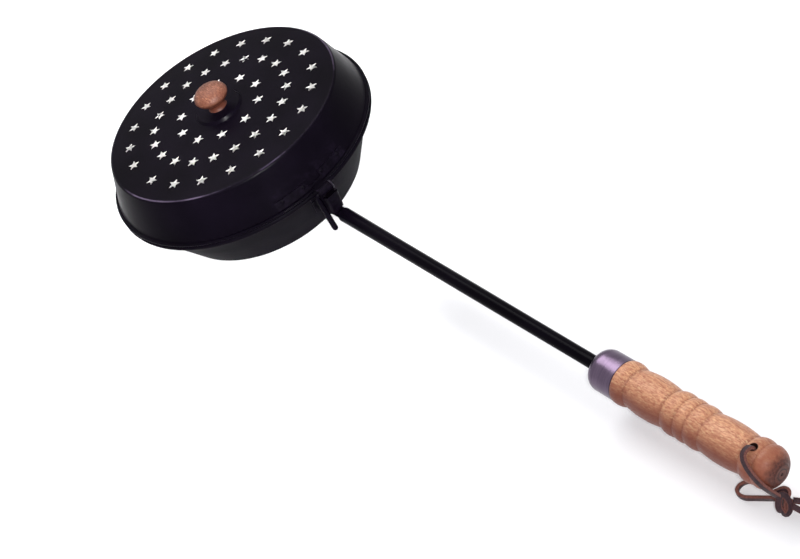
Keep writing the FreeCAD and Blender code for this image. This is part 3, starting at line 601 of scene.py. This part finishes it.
def lace_vertices(path, tangents, faces, section, seed):
    """The section swept along the path, with slightly uneven width and rough cut edges."""
    chance = random.Random(seed)
    ripple = [chance.uniform(RIPPLE_LOW, RIPPLE_HIGH) for _ in path]
    vertices, shares = [], []
    for i, (place, along, out) in enumerate(zip(path, tangents, faces)):
        across = along.cross(out)
        near = ripple[max(0, i - RIPPLE_REACH):i + RIPPLE_REACH + 1]
        swell = sum(near) / len(near)
        for sideways, outwards, share in section:
            rough = 1 + ROUGH_EDGE * chance.uniform(-1, 1) * share
            vertices.append(tuple(place + across * sideways * swell * rough + out * outwards))
            shares.append(share)
    return vertices, shares


def tube_polygons(rings, ring):
    """Side faces between the rings of points, and a face on each end."""
    polygons = []
    for i in range(rings - 1):
        for j in range(ring):
            k = (j + 1) % ring
            polygons.append((i * ring + j, i * ring + k, (i + 1) * ring + k, (i + 1) * ring + j))
    polygons.append(tuple(reversed(range(ring))))
    polygons.append(tuple(range((rings - 1) * ring, rings * ring)))
    return polygons


def make_lace(
    name, points, anchor, facing, seed, material, width=LACE_WIDTH, thickness=LACE_THICKNESS
):
    """A flat leather lace along a route; returns the piece and the path it follows."""
    path = spline_points(points, name)
    tangents, faces = face_directions(path, anchor, facing)
    section = lace_section(width, thickness)
    vertices, shares = lace_vertices(path, tangents, faces, section, seed)
    mesh = bpy.data.meshes.new(name)
    mesh.from_pydata(vertices, [], tube_polygons(len(path), len(section)))
    mesh.attributes.new("cut_edge", "FLOAT", "POINT").data.foreach_set("value", shares)
    mesh.update()
    for polygon in mesh.polygons:
        polygon.use_smooth = len(polygon.vertices) == 4
    mesh.materials.append(material)
    piece = bpy.data.objects.new(name, mesh)
    link(piece)
    return piece, path


# The CAD cords' own routes.
UPPER_STRAND = [
    (0.5724, 0.0, 0.0345),
    (0.5724, 0.0, 0.0430),
    (0.5722, -0.0014, 0.0526),
    (0.5714, -0.0091, 0.0512),
    (0.5780, -0.0129, 0.0457),
    (0.5871, -0.0143, 0.0390),
    (0.5908, -0.0112, 0.0298),
    (0.5896, -0.0076, 0.0206),
]
LOWER_STRAND = [
    (0.5724, 0.0, 0.0345),
    (0.5724, 0.0, 0.0254),
    (0.5708, -0.0009, 0.0156),
    (0.5629, -0.0038, 0.0090),
    (0.5565, -0.0074, 0.0056),
    (0.5569, -0.0134, 0.0046),
    (0.5633, -0.0146, 0.0042),
    (0.5698, -0.0104, 0.0044),
    (0.5766, -0.0076, 0.0066),
    (0.5832, -0.0062, 0.0104),
]
LONG_TAIL = [
    (0.5940, -0.0038, 0.0088),
    (0.6018, -0.0028, 0.0074),
    (0.6114, 0.0006, 0.0026),
    (0.6212, -0.0022, 0.0019),
    (0.6310, 0.0014, 0.0019),
]
SHORT_TAIL = [
    (0.5926, -0.0005, 0.0094),
    (0.5994, 0.0032, 0.0088),
    (0.6088, 0.0084, 0.0026),
    (0.6176, 0.0072, 0.0019),
    (0.6264, 0.0110, 0.0019),
]
KNOT_CENTRE = Vector((0.5894, -0.0054, 0.0114))
# Where the knot's lace runs, in millimetres: right and up across the knot's front, and out of it.
KNOT_TURNS = [
    (-5.0, 4.6, -2.0),
    (-2.0, 6.0, -2.2),
    (0.8, 7.4, -1.0),
    (2.8, 6.6, 0.2),
    (2.6, 4.0, 0.6),
    (0.6, 2.2, 0.0),
    (0.9, -0.4, -0.8),
    (0.6, -3.2, -0.6),
    (0.2, -6.3, 0.2),
    (1.6, -7.4, 1.0),
    (3.2, -5.2, 1.6),
    (3.4, -1.6, 2.0),
    (2.0, 1.8, 2.6),
    (-0.4, 4.6, 3.2),
    (-2.6, 4.6, 3.0),
    (-3.4, 1.6, 2.6),
    (-3.4, -2.4, 2.0),
    (-2.0, -5.2, 1.0),
    (0.6, -4.8, -0.8),
    (2.8, -3.6, -1.6),
    (4.8, -1.6, -2.0),
    (6.6, 0.7, -2.0),
]
# For each lace: the CAD node it replaces, its route, what its far end holds, and where along it,
# as a share of its length, its broad face looks in the given direction.
Lace = namedtuple("Lace", "name node points far_end anchor facing seed")
UPPER = Lace(
    name="thong_upper_lace",
    node="thong_upper_strand",
    points=UPPER_STRAND,
    far_end="knot",
    anchor=0.55,
    facing=(0.25, -0.92, 0.30),
    seed=1,
)
LOWER = Lace(
    name="thong_lower_lace",
    node="thong_lower_strand",
    points=LOWER_STRAND,
    far_end="knot",
    anchor=0.50,
    facing=(-0.95, -0.30, 0.10),
    seed=2,
)
LONG = Lace(
    name="thong_long_tail_lace",
    node="thong_long_tail",
    points=LONG_TAIL,
    far_end="bare",
    anchor=0.4,
    facing=(0.1, -0.35, 0.93),
    seed=3,
)
SHORT = Lace(
    name="thong_short_tail_lace",
    node="thong_short_tail",
    points=SHORT_TAIL,
    far_end="bare",
    anchor=0.4,
    facing=(0.1, -0.25, 0.96),
    seed=4,
)
KNOT_ANCHOR = 0.78
KNOT_FACING = CAMERA_BACK * 0.90 - CAMERA_RIGHT * 0.44
KNOT_SEED = 5


def make_knot(leather):
    turns = [
        KNOT_CENTRE + (CAMERA_RIGHT * right + CAMERA_UP * up + CAMERA_BACK * out) * MM
        for right, up, out in KNOT_TURNS
    ]
    knot, _ = make_lace(
        "thong_knot_lace",
        turns,
        KNOT_ANCHOR,
        KNOT_FACING,
        KNOT_SEED,
        leather,
        width=KNOT_LACE_WIDTH,
        thickness=KNOT_LACE_THICKNESS,
    )
    return knot


def make_thong():
    leather = make_leather()
    laces = [
        (lace, *make_lace(lace.name, lace.points, lace.anchor, lace.facing, lace.seed, leather))
        for lace in (UPPER, LOWER, LONG, SHORT)
    ]
    knot = make_knot(leather)
    for piece in [piece for _, piece, _ in laces] + [knot]:
        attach(piece, "pan")
    for lace, piece, path in laces:
        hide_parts(lace.node)
    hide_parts("thong_knot")


# ---------------------------------------------------------------- finishes of the CAD pieces

PLATED = (rgb(0.42, 0.42, 0.44), rgb(0.60, 0.60, 0.61))
BLACKENED = (rgb(0.020, 0.017, 0.024), rgb(0.045, 0.039, 0.052))
DRAWN_PIECES = ["handle_tube", "tube_rivet", "hinge_pin"]
PRESSED_PIECES = ["hinge_strap", "strap_rivets", "handle_bracket", "bracket_rivets"]
PLATED_PIECES = ["knob_screw", "knob_washer", "grip_pin"]


def dress(names, material):
    for name in names:
        data = nodes[name].data
        data.materials.clear()
        data.materials.append(material)


def dress_all():
    dress(["pan"], lined_enamel("pan_enamel", is_pan_lining, PAN_GLOSS))
    dress(["lid"], lined_enamel("lid_enamel", is_lid_lining, LID_GLOSS))
    dress(DRAWN_PIECES, make_enamel("enamel", TUBE_GLOSS))
    dress(PRESSED_PIECES, make_enamel("pressed_enamel", FITTING_GLOSS))
    dress(PLATED_PIECES, make_hazy_steel("plated_steel", *PLATED))
    dress(["hinge_pin_clip"], make_hazy_steel("blackened_steel", *BLACKENED))
    dress(["ferrule"], make_ferrule_steel())
    dress(["grip"], make_grip_wood())
    dress(["lid_knob"], make_knob_wood())


# ---------------------------------------------------------------- floor, light and background

FLOOR = rgb(0.96, 0.96, 0.975)
FLOOR_HALF = 6.0
FLOOR_ROUGHNESS = 0.9
FLOOR_SPECULAR = 0.2
SKY = rgb(0.97, 0.97, 1.0)
SKY_LIGHT = 0.47
SKY_SEEN = 1.0


def make_floor():
    half = FLOOR_HALF
    corners = [(-half, -half, 0), (half, -half, 0), (half, half, 0), (-half, half, 0)]
    mesh = bpy.data.meshes.new("floor")
    mesh.from_pydata(corners, [], [(0, 1, 2, 3)])
    floor = bpy.data.objects.new("floor", mesh)
    link(floor)
    material = Nodes("floor").finish(FLOOR, FLOOR_ROUGHNESS, Specular_IOR_Level=FLOOR_SPECULAR)
    mesh.materials.append(material)


def make_world():
    """Soft grey-white surroundings; only the camera, reflections and glass see plain white."""
    world = bpy.data.worlds.new("world")
    world.use_nodes = True
    tree = world.node_tree
    background = tree.nodes["Background"]
    background.inputs["Color"].default_value = SKY
    path = tree.nodes.new("ShaderNodeLightPath")
    level = tree.nodes.new("ShaderNodeMapRange")
    level.inputs["To Min"].default_value = SKY_LIGHT
    level.inputs["To Max"].default_value = SKY_SEEN
    seen = path.outputs["Is Camera Ray"]
    for ray in ("Is Glossy Ray", "Is Transmission Ray"):
        either = tree.nodes.new("ShaderNodeMath")
        either.operation = "MAXIMUM"
        tree.links.new(seen, either.inputs[0])
        tree.links.new(path.outputs[ray], either.inputs[1])
        seen = either.outputs[0]
    tree.links.new(seen, level.inputs["Value"])
    tree.links.new(level.outputs[0], background.inputs["Strength"])
    bpy.context.scene.world = world


def area_light(name, place, target, size, watts, spread_degrees=180):
    data = bpy.data.lights.new(name, "AREA")
    data.shape = "RECTANGLE"
    data.size, data.size_y = size
    data.energy = watts
    data.spread = math.radians(spread_degrees)
    light = bpy.data.objects.new(name, data)
    link(light)
    light.location = place
    light.rotation_mode = "QUATERNION"
    light.rotation_quaternion = (target - place).to_track_quat("-Z", "Y")


OVERHEAD_PLACE = Vector((-0.75, 0.45, 1.75))
OVERHEAD_TARGET = Vector((0.25, 0.0, 0.05))
FRONTAL_TARGET = Vector((0.3, 0.0, 0.05))
FRONTAL_BEHIND_CAMERA = 0.15
LID_MIDDLE = Vector((0.0, 0.0, 0.095))
STARS_LIGHT_BEHIND_CAMERA = 0.1


def make_lights():
    """A broad soft light high behind, one at the camera, and a narrow one through the stars."""
    area_light("overhead", OVERHEAD_PLACE, OVERHEAD_TARGET, size=(1.6, 0.9), watts=30)
    frontal = CAMERA_PLACE + CAMERA_BACK * FRONTAL_BEHIND_CAMERA
    area_light("frontal", frontal, FRONTAL_TARGET, size=(0.1, 0.1), watts=6)
    sight = (CAMERA_PLACE - LID_MIDDLE).normalized()
    narrow = CAMERA_PLACE + sight * STARS_LIGHT_BEHIND_CAMERA
    area_light(
        "through_stars", narrow, LID_MIDDLE, size=(0.03, 0.03), watts=0.65, spread_degrees=22
    )


make_camera()
make_thong()
dress_all()
make_floor()
make_world()
make_lights()
bpy.context.scene.view_settings.view_transform = "Standard"
